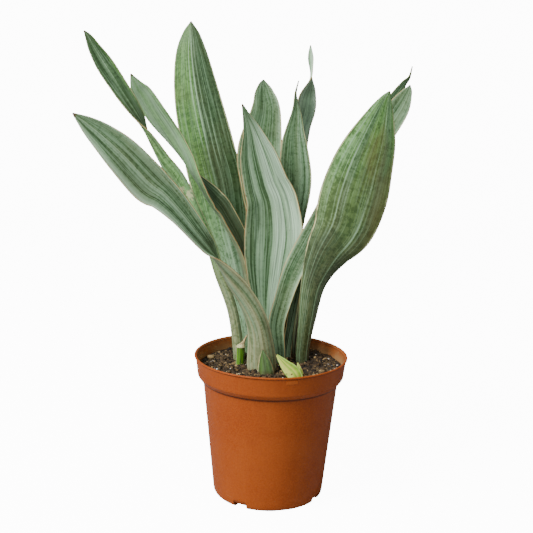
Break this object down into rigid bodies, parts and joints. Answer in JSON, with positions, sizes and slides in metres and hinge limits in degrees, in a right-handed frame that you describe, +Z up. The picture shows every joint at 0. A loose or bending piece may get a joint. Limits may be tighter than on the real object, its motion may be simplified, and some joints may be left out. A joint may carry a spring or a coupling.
{
  "type": "potted snake plant",
  "caption": "Snake plant with upright and leaning silver-striped sword leaves and young shoots, in a round terracotta-coloured plastic nursery pot filled with potting mix.",
  "frame": {"origin": "centre of the flat underside of the pot, on the surface that the pot stands on", "axes": "+Z up along the pot's axis; -Y is the plant's front and +X is to the right seen from the front"},
  "size_m": [0.3189, 0.1917, 0.4666],
  "materials": {
    "pot_plastic": "satin moulded terracotta-orange plastic",
    "potting_mix": "damp crumbly peat and bark with tan crumbs and white perlite",
    "leaf_skin": "waxy satin leaf, lengthwise silver and dark green stripes, faint cross bands, thin tan margin",
    "shoot_skin": "smooth green shoot with dry tan edges",
    "lime_skin": "smooth pale lime young shoot with faint lengthwise lines"
  },
  "bodies": {
    "root": {"pot": "pot_plastic", "soil": "potting_mix", "leaf_low_left": "leaf_skin", "leaf_far_left": "leaf_skin", "leaf_pale_left": "leaf_skin", "leaf_tall_back_left": "leaf_skin", "leaf_front_centre": "leaf_skin", "leaf_back_centre": "leaf_skin", "leaf_centre_right": "leaf_skin", "leaf_back_twisted": "leaf_skin", "leaf_big_right": "leaf_skin", "leaf_slim_right": "leaf_skin", "leaf_curled_back_right": "leaf_skin", "front_sheath": "shoot_skin", "lime_pup": "lime_skin", "pup_scale": "lime_skin", "cut_shoot": "shoot_skin"}
  },
  "joints": []
}
